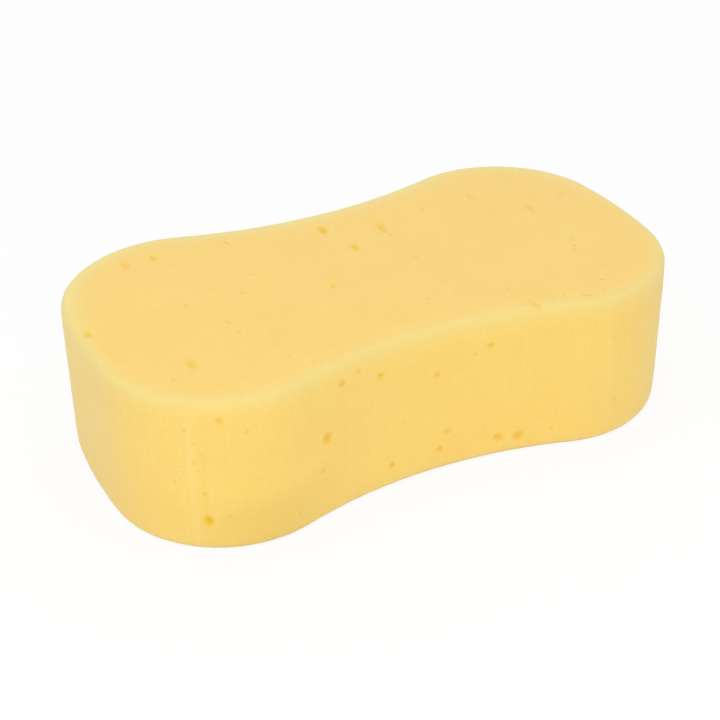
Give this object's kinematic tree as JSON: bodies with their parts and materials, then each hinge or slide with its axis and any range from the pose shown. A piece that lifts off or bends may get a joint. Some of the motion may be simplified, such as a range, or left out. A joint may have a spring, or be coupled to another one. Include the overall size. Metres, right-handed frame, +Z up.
{
  "type": "cleaning sponge",
  "caption": "Jumbo foam cleaning sponge: a thick figure-of-eight block with a waist to grip, soft rims and open bubbles on every face.",
  "frame": {"origin": "middle of the underside, on the surface that the sponge rests on", "axes": "+X along the length, +Y across the width towards the back, +Z up through the thickness"},
  "size_m": [0.22, 0.12, 0.06],
  "materials": {
    "foam": "matte yellow open-cell foam, fine grained, soft and porous"
  },
  "bodies": {
    "root": {"sponge": "foam"}
  },
  "joints": []
}
